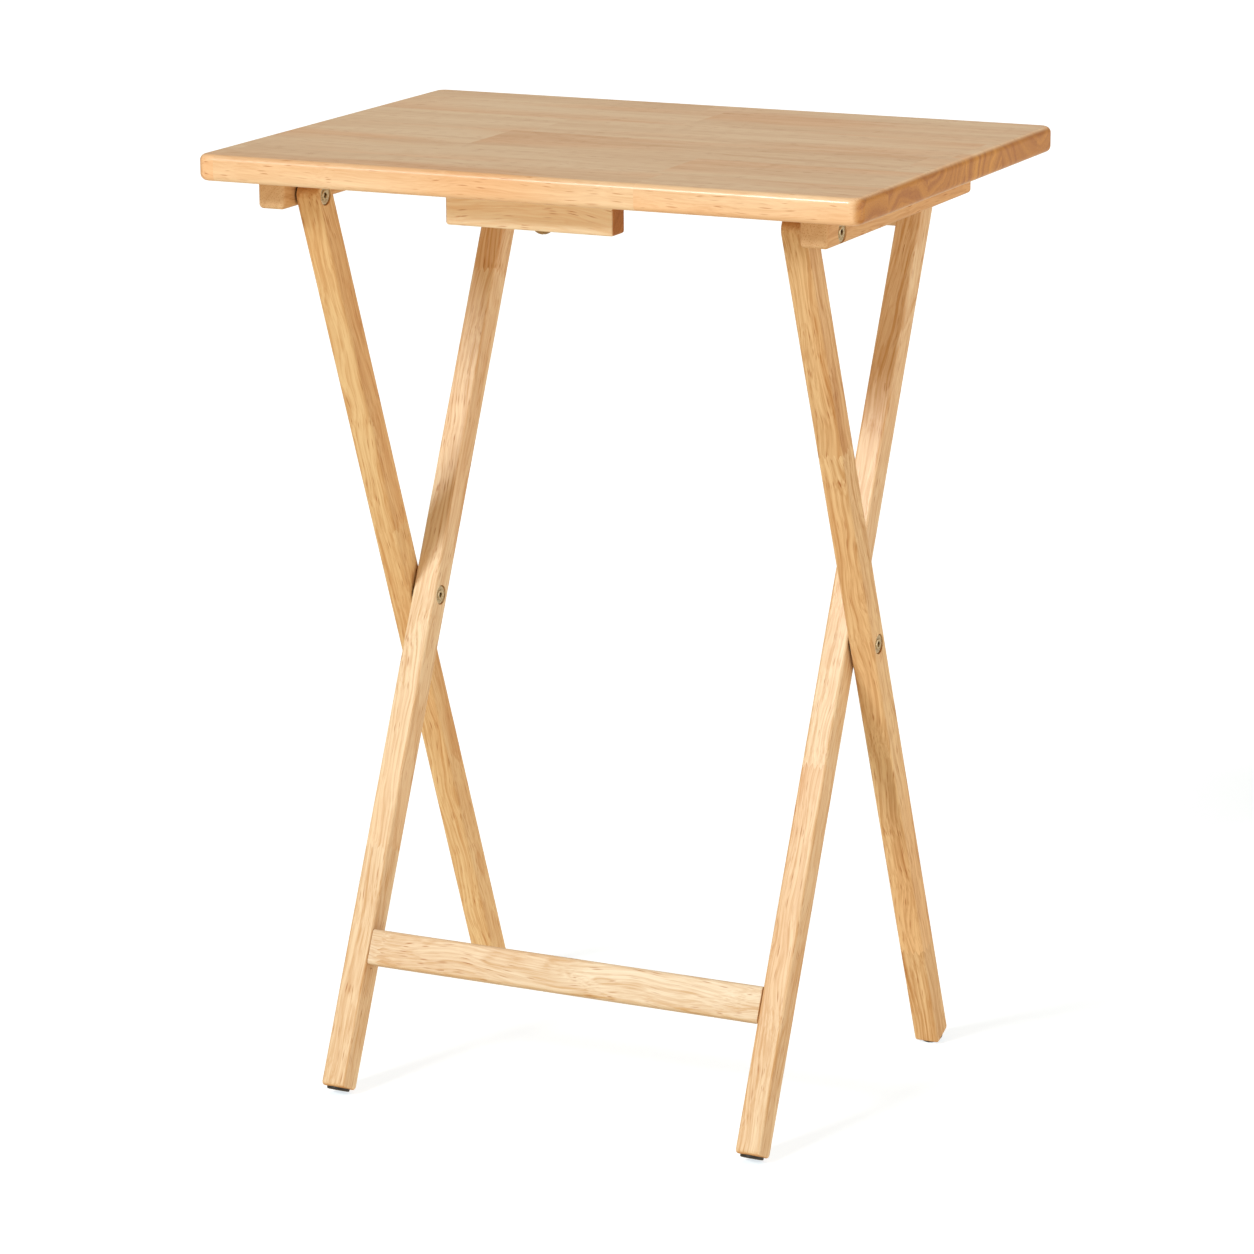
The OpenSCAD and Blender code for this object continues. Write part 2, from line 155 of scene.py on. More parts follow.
def rounded_outline(half_x, half_y, radii, steps=7):
    """Rectangle with a radius at each corner: (+x +y), (-x +y), (-x -y), (+x -y)."""
    points = []
    corners = [(1, 1), (-1, 1), (-1, -1), (1, -1)]
    for turn, ((sx, sy), radius) in enumerate(zip(corners, radii)):
        count = steps if radius else 0
        for step in range(count + 1):
            angle = (turn + step / max(1, count)) * math.pi / 2
            points.append((sx * (half_x - radius) + radius * math.cos(angle),
                           sy * (half_y - radius) + radius * math.sin(angle)))
    return points


def loft(rings):
    """Closed solid through rings of equally many points."""
    bm = bmesh.new()
    levels = [[bm.verts.new(point) for point in ring] for ring in rings]
    bm.faces.new(reversed(levels[0]))
    bm.faces.new(levels[-1])
    count = len(levels[0])
    for lower, upper in zip(levels, levels[1:]):
        for i in range(count):
            j = (i + 1) % count
            bm.faces.new((lower[i], lower[j], upper[j], upper[i]))
    bmesh.ops.remove_doubles(bm, verts=bm.verts, dist=WELD)
    return bm


def soft_block(half, radii, rim, steps=7, rim_steps=5, square_top=False):
    """Block with rounded corners in plan and a rounded rim at both ends of z. With square_top, the rim
    isn't rounded on the +y side."""
    rings = []
    for end in (-1, 1):
        for step in range(rim_steps + 1):
            angle = math.pi / 2 * (step if end == 1 else rim_steps - step) / rim_steps
            inset = rim * (1 - math.cos(angle))
            z = end * (half.z - rim + rim * math.sin(angle))
            lift = inset / 2 if square_top else 0
            shrunk = [max(r - inset, SPECK) if r else 0 for r in radii]
            outline = rounded_outline(half.x - inset, half.y - (lift or inset), shrunk, steps)
            rings.append([(x, y + lift, z) for x, y in outline])
    return loft(rings)


def prism(outline, half_z, rim=0):
    """Extrudes any outline to z = -half_z and half_z and rounds both rims."""
    bm = loft([[(x, y, z) for x, y in outline] for z in (-half_z, half_z)])
    if rim:
        flat = [e for e in bm.edges if e.verts[0].co.z * e.verts[1].co.z > 0]
        bmesh.ops.bevel(bm, geom=flat, offset=rim, offset_type="OFFSET", segments=3,
                        profile=0.5, affect="EDGES", clamp_overlap=False)
    return bm


def lengthwise(bm):
    """Turns a mesh so that its z axis becomes the x axis."""
    bmesh.ops.rotate(bm, verts=bm.verts, matrix=turned_to(Y, X))


def slice_along(bm, axis, half, step):
    """Cuts a mesh across an axis at even steps, so that it can bend a little."""
    cuts = max(1, round(2 * half / step))
    for i in range(1, cuts):
        at = Vector((0, 0, 0))
        at[axis] = -half + 2 * half * i / cuts
        normal = Vector((0, 0, 0))
        normal[axis] = 1
        bmesh.ops.bisect_plane(bm, geom=bm.verts[:] + bm.edges[:] + bm.faces[:],
                               plane_co=at, plane_no=normal)


def hand_sand(bm, seed, depth=SANDING, pitch=SANDING_PITCH):
    """Presses soft shallow hollows into the surface. Nothing moves outwards."""
    bm.normal_update()
    shift = Vector((seed * 3.1, seed * 1.7, seed * 0.9))
    for v in bm.verts:
        hollow = 0.5 + 0.5 * noise.noise(v.co / pitch + shift)
        v.co -= v.normal * depth * min(1, max(0, hollow))


def piece_from(bm, name, place, crisp=CRISP):
    """Turns a bmesh into an object whose faces look outwards, with smooth shading between sharp edges."""
    bmesh.ops.recalc_face_normals(bm, faces=bm.faces)
    if bm.calc_volume(signed=True) < 0:
        bmesh.ops.reverse_faces(bm, faces=bm.faces)
    mesh = bpy.data.meshes.new(name)
    bm.to_mesh(mesh)
    bm.free()
    piece = bpy.data.objects.new(name, mesh)
    bpy.context.scene.collection.objects.link(piece)
    piece.matrix_world = place
    shade(piece, crisp)
    return piece


def shade(piece, crisp=CRISP):
    """Smooth shading, but for edges sharper than so many degrees."""
    mesh = piece.data
    mesh.polygons.foreach_set("use_smooth", [True] * len(mesh.polygons))
    mesh.set_sharp_from_angle(angle=math.radians(crisp))


def even_normals(piece):
    """Large faces decide the shading of the roundings beside them."""
    weighted = piece.modifiers.new("even_normals", "WEIGHTED_NORMAL")
    weighted.keep_sharp = True
    weighted.weight = 80


def carve(piece, cutters):
    """Cuts the cutters' shapes out of a piece and throws the cutters away."""
    for cutter in cutters:
        cut = piece.modifiers.new("cut", "BOOLEAN")
        cut.object = cutter
        cut.operation = "DIFFERENCE"
        cut.solver = "EXACT"
    bpy.context.view_layer.update()
    graph = bpy.context.evaluated_depsgraph_get()
    carved = bpy.data.meshes.new_from_object(piece.evaluated_get(graph))
    piece.modifiers.clear()
    old = piece.data
    piece.data = carved
    bpy.data.meshes.remove(old)
    for cutter in cutters:
        bpy.data.objects.remove(cutter)
    carved.name = piece.name
    drop_slivers(carved)
    shade(piece)


def drop_slivers(mesh, size=0.005 * MM):
    """Removes the faces and edges of no width that a cut can leave."""
    bm = bmesh.new()
    bm.from_mesh(mesh)
    bmesh.ops.remove_doubles(bm, verts=bm.verts, dist=size)
    bmesh.ops.dissolve_degenerate(bm, edges=bm.edges, dist=size)
    bm.to_mesh(mesh)
    bm.free()


def turning(stations, segments=48):
    """Surface of revolution about z. A station is (radius, height, corners): corners is 0 for round, or
    the number of flats of a socket. A solid starts and ends on the axis or closes on its first station."""
    bm = bmesh.new()
    rings = []
    for radius, height, corners in stations:
        if radius == 0:
            rings.append([bm.verts.new((0, 0, height))])
            continue
        ring = []
        for i in range(segments):
            angle = 2 * math.pi * i / segments
            reach = radius
            if corners:
                wedge = 2 * math.pi / corners
                reach = radius * math.cos(wedge / 2) / math.cos(angle % wedge - wedge / 2)
            ring.append(bm.verts.new((reach * math.cos(angle), reach * math.sin(angle), height)))
        rings.append(ring)
    for a, b in zip(rings, rings[1:]):
        for i in range(segments):
            j = (i + 1) % segments
            around = [a[i % len(a)], a[j % len(a)], b[j % len(b)], b[i % len(b)]]
            bm.faces.new(list(dict.fromkeys(around)))
    bmesh.ops.remove_doubles(bm, verts=bm.verts, dist=WELD)
    return bm


def plain(stations):
    """Stations of a turning that is round all along, from (radius, height) pairs."""
    return [(radius, height, 0) for radius, height in stations]


def arc_steps(count, full=math.pi / 2):
    """Angles from 0 to full in so many even steps."""
    return [full * i / count for i in range(count + 1)]


def countersink(place, radius, depth, ease=HOLE_EDGE):
    """Cutter for a round recess with a slightly broken edge. Its mouth is at z = 0, facing +z."""
    beyond = 2 * MM
    profile = [(0, -depth), (radius, -depth), (radius, -ease), (radius + ease, 0),
               (radius + ease, beyond), (0, beyond)]
    return piece_from(turning(plain(profile), segments=64), "cutter", place)


def facing(point, direction):
    """Placement at a point whose z axis looks in a direction."""
    return Matrix.Translation(point) @ direction.to_track_quat("Z", "Y").to_matrix().to_4x4()


# ---- materials ----

FINGER_WIDTH = 2.2 * MM   # of the fingers that join boards end to end
GRAIN_STRAY = 20 * MM     # from side to side
BOARD_SHIFT = 7.0         # how many metres apart two boards can be in the noise
PORE_DEPTH = 0.05 * MM
RINGS_PER_METRE = 380.0
TIMBER_INPUTS = {"Vector": ("Place", "Normal"),
                 "Float": ("Seed", "Board width", "Board start", "Board length", "Finger",
                           "Board contrast", "Pores", "Calm"),
                 "Color": ("Light", "Dark", "Flush", "Pore", "End", "End ring")}
TIMBER_OUTPUTS = {"Color": ("Colour",), "Float": ("Roughness", "Height")}

# Finger is how steep the finger joints are, and Calm takes the lines out of the grain
SINGLE_BOARD = {"Board width": 1.0, "Board start": -0.5, "Board length": 0.42, "Finger": 2.0,
                "Board contrast": 0.25, "Pores": 0.8, "Calm": 0.0}
GLUED_STAVES = {"Board width": STAVE_WIDTH, "Board start": STAVE_START, "Board length": 0.31,
                "Finger": 0.0, "Board contrast": 0.3, "Pores": 0.7, "Calm": 0.6}


def srgb(red, green, blue):
    """Linear colour from display values of 0 to 255."""
    def linear(value):
        value /= 255
        return value / 12.92 if value <= 0.04045 else ((value + 0.055) / 1.055) ** 2.4
    return (linear(red), linear(green), linear(blue), 1)


def add(tree, kind, inputs=None, **settings):
    """Adds a shader node, sets it and links or fills its inputs."""
    made = tree.nodes.new("ShaderNode" + kind)
    for key, value in settings.items():
        setattr(made, key, value)
    for socket, value in (inputs or {}).items():
        if isinstance(value, bpy.types.NodeSocket):
            tree.links.new(value, made.inputs[socket])
        else:
            made.inputs[socket].default_value = value
    return made


def calc(tree, operation, *values, clamp=False):
    """Arithmetic on numbers."""
    made = add(tree, "Math", dict(enumerate(values)), operation=operation, use_clamp=clamp)
    return made.outputs[0]


def between(tree, value, low, high, to_low=0.0, to_high=1.0):
    """Maps low..high to to_low..to_high, clamped and smooth at both ends."""
    made = add(tree, "MapRange", {"Value": value, "From Min": low, "From Max": high,
                                  "To Min": to_low, "To Max": to_high},
               interpolation_type="SMOOTHSTEP")
    return made.outputs["Result"]


def grain_noise(tree, place, along, across, detail=2.0, rough=0.5):
    """Noise drawn out along the grain: along and across are how many bumps fit in a metre."""
    stretched = add(tree, "Mapping", {"Vector": place, "Scale": (along, across, across)})
    made = add(tree, "TexNoise", {"Vector": stretched.outputs[0], "Scale": 1.0, "Detail": detail,
                                  "Roughness": rough}, noise_dimensions="3D")
    return made


def ring_noise(tree, turns, scale):
    """Uneven growth rings, from the number of turns out from the pith."""
    made = add(tree, "TexNoise", {"W": turns, "Scale": scale, "Detail": 2.0, "Roughness": 0.55},
               noise_dimensions="1D")
    return made.outputs[0]


def blend(tree, amount, first, second, mode="MIX"):
    """Mixes two colours, or multiplies the second into the first, by an amount of 0 to 1. Inputs 6
    and 7 and output 2 of a Mix node are its colours."""
    inputs = {"Factor": amount, 6: first, 7: second}
    return add(tree, "Mix", inputs, data_type="RGBA", blend_type=mode).outputs[2]


def move(tree, operation, first, second):
    """Arithmetic on places."""
    return add(tree, "VectorMath", {0: first, 1: second}, operation=operation).outputs[0]


def board_of(tree, get, axes):
    """The row that a point is in across the grain, and a random colour for its board in that row."""
    from_start = calc(tree, "SUBTRACT", axes[1], get["Board start"])
    row = calc(tree, "FLOOR", calc(tree, "DIVIDE", from_start, get["Board width"]))
    row_key = add(tree, "CombineXYZ", {0: row, 1: get["Seed"], 2: 3.7}).outputs[0]
    row_random = add(tree, "TexWhiteNoise", {"Vector": row_key}, noise_dimensions="3D").outputs["Value"]
    zigzag = calc(tree, "PINGPONG", calc(tree, "ADD", axes[1], axes[2]), FINGER_WIDTH)
    run = calc(tree, "ADD", axes[0], calc(tree, "MULTIPLY", zigzag, get["Finger"]))
    run = calc(tree, "ADD", run, calc(tree, "MULTIPLY", row_random, get["Board length"]))
    column = calc(tree, "FLOOR", calc(tree, "DIVIDE", run, get["Board length"]))
    key = add(tree, "CombineXYZ", {0: row, 1: column, 2: get["Seed"]}).outputs[0]
    return row, add(tree, "TexWhiteNoise", {"Vector": key}, noise_dimensions="3D").outputs["Color"]


def stray(tree, place):
    """How far the grain strays sideways on its way along the board."""
    drift = grain_noise(tree, place, 9.0, 26.0).outputs["Color"]
    drift = move(tree, "SUBTRACT", drift, (0.5, 0.5, 0.5))
    return move(tree, "MULTIPLY", drift, (0.0, GRAIN_STRAY, GRAIN_STRAY))


def turns_from_pith(tree, pick, across, axes, drift):
    """How many growth rings lie between a point and the pith, which is outside the board."""
    pith_y = calc(tree, "MULTIPLY_ADD", pick[0], 0.1, -0.05)
    pith_z = calc(tree, "MULTIPLY_ADD", pick[1], 0.04, 0.02)
    pith_z = calc(tree, "MULTIPLY", pith_z, calc(tree, "SIGN", calc(tree, "SUBTRACT", pick[2], 0.45)))
    lean = calc(tree, "MULTIPLY", axes[0], calc(tree, "MULTIPLY_ADD", pick[2], 0.05, -0.025))
    from_y = calc(tree, "ADD", calc(tree, "SUBTRACT", across, pith_y), drift[1])
    from_z = calc(tree, "ADD", calc(tree, "ADD", calc(tree, "SUBTRACT", axes[2], pith_z), lean), drift[2])
    squares = calc(tree, "MULTIPLY_ADD", from_y, from_y, calc(tree, "MULTIPLY", from_z, from_z))
    first = calc(tree, "MULTIPLY", pick[0], 50.0)
    return calc(tree, "MULTIPLY_ADD", calc(tree, "SQRT", squares), RINGS_PER_METRE, first)


def flecks_of(tree, place, amount):
    """Short lens-shaped pores that gather in some places."""
    crowd = grain_noise(tree, place, 9.0, 40.0, detail=1.0).outputs[0]
    cells = add(tree, "Mapping", {"Vector": place, "Scale": (62.0, 900.0, 900.0)}).outputs[0]
    cell = add(tree, "TexVoronoi", {"Vector": cells, "Scale": 1.0, "Randomness": 1.0})
    luck = add(tree, "SeparateColor", {0: cell.outputs["Color"]}).outputs
    present = between(tree, calc(tree, "ADD", luck[0], crowd), 1.08, 1.46)
    lens = between(tree, cell.outputs["Distance"], 0.1, 0.42, 1.0, 0.0)
    return calc(tree, "MULTIPLY", calc(tree, "MULTIPLY", lens, present), amount)


def long_grain(tree, get, place, pick, turns, fibres):
    """Colour along the grain, from rings, streaks, fibres and larger patches."""
    rings = between(tree, ring_noise(tree, turns, 1.0), 0.42, 0.72)
    streaks = grain_noise(tree, place, 16.0, 640.0, detail=3.0, rough=0.65).outputs[0]
    streaks = between(tree, streaks, 0.4, 0.64)
    clouds = between(tree, grain_noise(tree, place, 5.0, 60.0).outputs[0], 0.34, 0.66)
    warm = between(tree, grain_noise(tree, place, 4.0, 20.0, detail=1.0).outputs[0], 0.42, 0.72)
    lines = calc(tree, "MULTIPLY_ADD", rings, 0.42, calc(tree, "MULTIPLY", streaks, 0.46))
    lines = calc(tree, "MULTIPLY", lines, calc(tree, "SUBTRACT", 1.0, get["Calm"]))
    patches = calc(tree, "MULTIPLY", clouds, calc(tree, "MULTIPLY_ADD", get["Calm"], 0.15, 0.24))
    depth = calc(tree, "MULTIPLY_ADD", fibres, 0.2, calc(tree, "ADD", patches, lines))
    lot = calc(tree, "MULTIPLY", calc(tree, "SUBTRACT", pick[1], 0.5), get["Board contrast"])
    depth = calc(tree, "ADD", calc(tree, "SUBTRACT", depth, 0.12), lot, clamp=True)
    colour = blend(tree, depth, get["Light"], get["Dark"])
    return blend(tree, calc(tree, "MULTIPLY", warm, 0.6), colour, get["Flush"], "MULTIPLY")


def end_grain(tree, get, place, pick, turns):
    """Colour where the board is cut across: broad rings and fine dots."""
    rings = between(tree, ring_noise(tree, turns, 0.35), 0.3, 0.7)
    dots = between(tree, grain_noise(tree, place, 500.0, 1500.0, detail=1.0).outputs[0], 0.5, 0.72)
    colour = blend(tree, rings, get["End"], get["End ring"])
    colour = blend(tree, calc(tree, "MULTIPLY", pick[1], 0.8), colour, get["End ring"])
    return blend(tree, calc(tree, "MULTIPLY", dots, 0.45), colour, get["Pore"], "MULTIPLY")


def timber_group():
    """Solid timber in the piece's own metres. Its grain runs along x, and it is glued up from boards
    side by side and end to end."""
    tree = bpy.data.node_groups.new("timber", "ShaderNodeTree")
    for way, sockets in (("INPUT", TIMBER_INPUTS), ("OUTPUT", TIMBER_OUTPUTS)):
        for kind, names in sockets.items():
            for name in names:
                tree.interface.new_socket(name, in_out=way, socket_type="NodeSocket" + kind)
    get = tree.nodes.new("NodeGroupInput").outputs
    axes = add(tree, "SeparateXYZ", {0: get["Place"]}).outputs
    row, board = board_of(tree, get, axes)
    pick = add(tree, "SeparateColor", {0: board}).outputs

    # Each board has its own place in the noise, so that neighbours don't match
    shift = move(tree, "MULTIPLY", board, [BOARD_SHIFT] * 3)
    place = move(tree, "ADD", get["Place"], shift)
    drift = stray(tree, place)
    place = move(tree, "ADD", place, drift)
    middle = calc(tree, "MULTIPLY_ADD", calc(tree, "ADD", row, 0.5), get["Board width"], get["Board start"])
    across = calc(tree, "SUBTRACT", axes[1], middle)
    turns = turns_from_pith(tree, pick, across, axes, add(tree, "SeparateXYZ", {0: drift}).outputs)
    fibres = between(tree, grain_noise(tree, place, 40.0, 1500.0, rough=0.6).outputs[0], 0.3, 0.7)
    flecks = flecks_of(tree, place, get["Pores"])

    along = blend(tree, flecks, long_grain(tree, get, place, pick, turns, fibres), get["Pore"], "MULTIPLY")
    end = add(tree, "SeparateXYZ", {0: get["Normal"]}).outputs[0]
    end = between(tree, calc(tree, "ABSOLUTE", end), 0.35, 0.9)
    rough = calc(tree, "MULTIPLY_ADD", fibres, 0.07, 0.36)
    rough = calc(tree, "MULTIPLY_ADD", flecks, 0.18, calc(tree, "MULTIPLY_ADD", end, 0.1, rough))
    out = tree.nodes.new("NodeGroupOutput").inputs
    tree.links.new(blend(tree, end, along, end_grain(tree, get, place, pick, turns)), out["Colour"])
    tree.links.new(rough, out["Roughness"])
    tree.links.new(calc(tree, "MULTIPLY_ADD", flecks, -1.0, calc(tree, "MULTIPLY", fibres, 0.35)),
                   out["Height"])
    return tree


TIMBER = timber_group()


def new_material(name):
    """A material and its surface shader."""
    material = bpy.data.materials.new(name)
    material.use_nodes = True
    return material, material.node_tree.nodes["Principled BSDF"]


def wood(name, seed, colours, boards=SINGLE_BOARD, coat=0.06, gloss=0.2):
    """Lacquered wood whose grain runs along the piece's own x axis."""
    material, surface = new_material(name)
    tree = material.node_tree
    where = add(tree, "TexCoord").outputs
    timber = tree.nodes.new("ShaderNodeGroup")
    timber.node_tree = TIMBER
    tree.links.new(where["Object"], timber.inputs["Place"])
    tree.links.new(where["Normal"], timber.inputs["Normal"])
    timber.inputs["Seed"].default_value = seed
    for socket, value in boards.items():
        timber.inputs[socket].default_value = value
    for socket, value in colours.items():
        timber.inputs[socket].default_value = srgb(*value)
    bump = add(tree, "Bump", {"Height": timber.outputs["Height"], "Strength": 0.6, "Distance": PORE_DEPTH})
    tree.links.new(timber.outputs["Colour"], surface.inputs["Base Color"])
    tree.links.new(timber.outputs["Roughness"], surface.inputs["Roughness"])
    tree.links.new(bump.outputs[0], surface.inputs["Normal"])
    surface.inputs["Coat Weight"].default_value = coat
    surface.inputs["Coat Roughness"].default_value = 0.2
    surface.inputs["Specular IOR Level"].default_value = gloss
    return material


def speckle(tree, where, scale, detail, rough=0.5):
    """Noise that is the same in all directions, with about scale bumps in a metre."""
    settings = {"Vector": where, "Scale": scale, "Detail": detail, "Roughness": rough}
    return add(tree, "TexNoise", settings).outputs[0]


def metal(name, base, worn, roughness, hollow=None):
    """Plated metal: a mottled plating, rubbed brighter in places, with fine scratches. Below the
    height that hollow gives, dirt and tarnish have gathered."""
    material, surface = new_material(name)
    tree = material.node_tree
    where = add(tree, "TexCoord").outputs["Object"]
    rubbed = between(tree, speckle(tree, where, 900.0, 4.0, 0.6), 0.42, 0.68)
    grit = speckle(tree, where, 5400.0, 2.0)
    colour = blend(tree, rubbed, srgb(*base), srgb(*worn))
    if hollow:
        height = add(tree, "SeparateXYZ", {0: where}).outputs[2]
        dirt = between(tree, height, hollow - 0.9 * MM, hollow, 0.9, 0.0)
        colour = blend(tree, dirt, colour, srgb(44, 32, 20))
    tree.links.new(colour, surface.inputs["Base Color"])
    rough = between(tree, grit, 0.3, 0.7, roughness - 0.06, roughness + 0.1)
    tree.links.new(rough, surface.inputs["Roughness"])
    bump = add(tree, "Bump", {"Height": grit, "Strength": 0.25, "Distance": 0.02 * MM})
    tree.links.new(bump.outputs[0], surface.inputs["Normal"])
    surface.inputs["Metallic"].default_value = 1.0
    return material


def plastic(name, base, dust, roughness):
    """Moulded plastic with a fine spark-eroded grain, scuffed paler where it is rough."""
    material, surface = new_material(name)
    tree = material.node_tree
    where = add(tree, "TexCoord").outputs["Object"]
    grain = speckle(tree, where, 2600.0, 2.0)
    scuffs = speckle(tree, where, 260.0, 3.0)
    colour = blend(tree, between(tree, scuffs, 0.5, 0.75), srgb(*base), srgb(*dust))
    tree.links.new(colour, surface.inputs["Base Color"])
    rough = between(tree, scuffs, 0.35, 0.7, roughness, roughness + 0.2)
    tree.links.new(rough, surface.inputs["Roughness"])
    bump = add(tree, "Bump", {"Height": grain, "Strength": 0.5, "Distance": 0.03 * MM})
    tree.links.new(bump.outputs[0], surface.inputs["Normal"])
    return material


def tones(light, dark, end, end_ring, flush=(252, 236, 220), pore=(196, 142, 94)):
    """A wood's colours: light and dark along the grain, and two where it is cut across. Flush and
    pore are multiplied into them."""
    return {"Light": light, "Dark": dark, "End": end, "End ring": end_ring, "Flush": flush, "Pore": pore}


PALE = tones((238, 216, 183), (208, 165, 116), (226, 186, 136), (204, 156, 106))
SILVER = tones((238, 224, 201), (208, 172, 128), (226, 186, 136), (204, 156, 106))
GOLD = tones((236, 207, 159), (206, 158, 104), (214, 166, 108), (190, 136, 82))
HONEY = tones((236, 206, 161), (192, 142, 88), (214, 166, 108), (190, 136, 82))
# The batten's end colours are lighter than its long grain. This is painted light on the ends under the top,
# set against the top's shadow.
BATTEN_PAINTED_LIGHT_ENDS = tones((230, 194, 146), (204, 158, 110), (238, 208, 168), (222, 186, 144))
# The block's light and dark are close to white. This is painted light on its front, set against the top's
# shadow. Its end colours are the wood's darker end grain.
BLOCK_PAINTED_LIGHT = tones((255, 240, 214), (240, 210, 172), (190, 132, 76), (166, 106, 54))
STAVES = tones((250, 223, 188), (222, 175, 127), (216, 154, 60), (178, 112, 36), flush=(250, 219, 189))
BRASS = metal("antique_brass", (200, 184, 150), (238, 228, 204), 0.26, hollow=-HEAD_SINK - 0.5 * MM)
BROWN_BRASS = metal("brown_brass", (146, 118, 78), (190, 160, 112), 0.32)
YELLOW_ZINC = metal("yellow_zinc", (176, 160, 104), (206, 192, 140), 0.34)
BRIGHT_ZINC = metal("bright_zinc", (150, 150, 152), (190, 190, 190), 0.36)
NYLON = plastic("dark_nylon", (52, 48, 44), (78, 72, 66), 0.5)
GLIDE_PLASTIC = plastic("glide_plastic", (34, 32, 32), (64, 60, 58), 0.45)


def finish(piece, material, body, node):
    """Gives a piece its material, puts it under its body's empty and hides the CAD node that it is built in
    place of.
    """
    piece.data.materials.clear()
    piece.data.materials.append(material)
    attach(piece, body)
    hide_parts(node)


# ---- wooden pieces ----

def make_top():
    """The panel, glued up from staves, with all its edges rounded."""
    place, half = fitted("tabletop", X, Z)
    bm = soft_block(half, [TOP_CORNER] * 4, TOP_EDGE, steps=12, rim_steps=7)
    slice_along(bm, 0, half.x, TOP_SLICE)
    slice_along(bm, 1, half.y, TOP_SLICE)
    hand_sand(bm, 1, TOP_SANDING, TOP_PITCH)
    piece = piece_from(bm, "top_panel", place)
    even_normals(piece)
    material = wood("top_staves", 4, STAVES, GLUED_STAVES, coat=0.65, gloss=0.3)
    finish(piece, material, "top", "tabletop")


def make_leg(node, body, up, seed, recesses, colours, pin=None):
    """A leg: round at its top end, softly cornered at the foot, with its recesses for bolt heads and
    perhaps the hole of a pin that locks the stretcher."""
    place, half = fitted(node, up, X)
    round_end = half.y - SPECK
    bm = soft_block(half, [round_end, FOOT_CORNER, FOOT_CORNER, round_end], LEG_EDGE, steps=9)
    slice_along(bm, 0, half.x, LEG_SLICE)
    hand_sand(bm, seed)
    piece = piece_from(bm, node + "_wood", place)
    cutters = [countersink(at, HEAD_RECESS, HEAD_RECESS_DEPTH) for at in recesses]
    if pin:
        cutters.append(countersink(pin, PIN_RADIUS, PIN_DEPTH, HOLE_EDGE / 3))
    carve(piece, cutters)
    even_normals(piece)
    finish(piece, wood(node + "_grain", seed, colours), body, node)


def make_legs():
    """Both pairs of legs, with the recesses on the faces that the bolt heads and nuts are in."""
    half_stretcher = fitted("front_stretcher", UP_INNER, X)[1].x
    below_stretcher = side_point("front_stretcher") - UP_INNER * (half_stretcher + PIN_DROP)
    for name, side in SIDES.items():
        low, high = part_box(f"{name}_outer_leg")
        outer_face, inner_face = (high.x, low.x) if side == RIGHT else (low.x, high.x)
        outwards = side * X
        recesses = [facing(CROSSING + outer_face * X, outwards),
                    facing(TOP_PIVOT + inner_face * X, -outwards)]
        make_leg(f"{name}_outer_leg", "outer_frame", UP_OUTER, 11 + side, recesses,
                 HONEY if side == RIGHT else GOLD)
        low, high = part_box(f"{name}_inner_leg")
        inner_face = low.x if side == RIGHT else high.x
        recesses = [facing(CROSSING + inner_face * X, -outwards)]
        pin = facing(below_stretcher + inner_face * X, -outwards)
        make_leg(f"{name}_inner_leg", "inner_frame", UP_INNER, 23 + side, recesses, PALE, pin)


def make_stretcher():
    """The bar between the inner legs near the floor, crisp where it meets them."""
    place, half = fitted("front_stretcher", X, UP_INNER.cross(X))
    bm = soft_block(Vector((half.y, half.z, half.x)), [STRETCHER_EDGE] * 4, STRETCHER_END, steps=5,
                    rim_steps=3)
    lengthwise(bm)
    slice_along(bm, 0, half.x, LEG_SLICE)
    hand_sand(bm, 31)
    piece = piece_from(bm, "stretcher_wood", place)
    even_normals(piece)
    finish(piece, wood("stretcher_grain", 31, SILVER), "inner_frame", "front_stretcher")


def make_rail():
    """The latch rail, turned down at both ends to fit the legs."""
    place, half = fitted("latch_rail", X, UP_INNER)
    shoulder = abs(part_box("left_inner_leg")[1].x)
    bm = turning(plain([(0, -half.x), (RAIL_TENON, -half.x), (RAIL_TENON, -shoulder),
                        (half.z, -shoulder), (half.z, shoulder),
                        (RAIL_TENON, shoulder), (RAIL_TENON, half.x), (0, half.x)]))
    lengthwise(bm)
    slice_along(bm, 0, half.x, BAR_SLICE)
    hand_sand(bm, 41, LIGHT_SANDING)
    piece = piece_from(bm, "rail_wood", place)
    finish(piece, wood("rail_grain", 41, PALE), "inner_frame", "latch_rail")


def hung_bar(node, grain, across, edge, seed):
    """A bar under the top: square against the underside and rounded elsewhere. Its y axis looks up."""
    place, half = fitted(node, grain, across)
    bm = soft_block(half, [0, 0, edge, edge], edge, square_top=True)
    slice_along(bm, 0, half.x, BAR_SLICE)
    hand_sand(bm, seed, LIGHT_SANDING)
    return piece_from(bm, node + "_wood", place)


def make_cleats():
    """Battens under both ends of the top that the outer legs turn on."""
    for name, side in SIDES.items():
        node = f"{name}_cleat"
        piece = hung_bar(node, Y, X, CLEAT_EDGE, 51 + side)
        low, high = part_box(node)
        outer_face = high.x if side == RIGHT else low.x
        head = facing(TOP_PIVOT + outer_face * X, side * X)
        cutters = [countersink(head, HEAD_RECESS, HEAD_RECESS_DEPTH)]
        for y in screw_places("cleat_screws"):
            at = Vector(((low.x + high.x) / 2, y, low.z))
            cutters.append(countersink(facing(at, -Z), SCREW_HEAD + PLAY, SCREW_SINK["cleat"]))
        carve(piece, cutters)
        even_normals(piece)
        # The cleats' ends carry painted light, lighter than their long grain, set against the top's shadow.
        material = wood(f"{name}_cleat_grain_painted_light_ends", 51 + side, BATTEN_PAINTED_LIGHT_ENDS)
        finish(piece, material, "top", node)


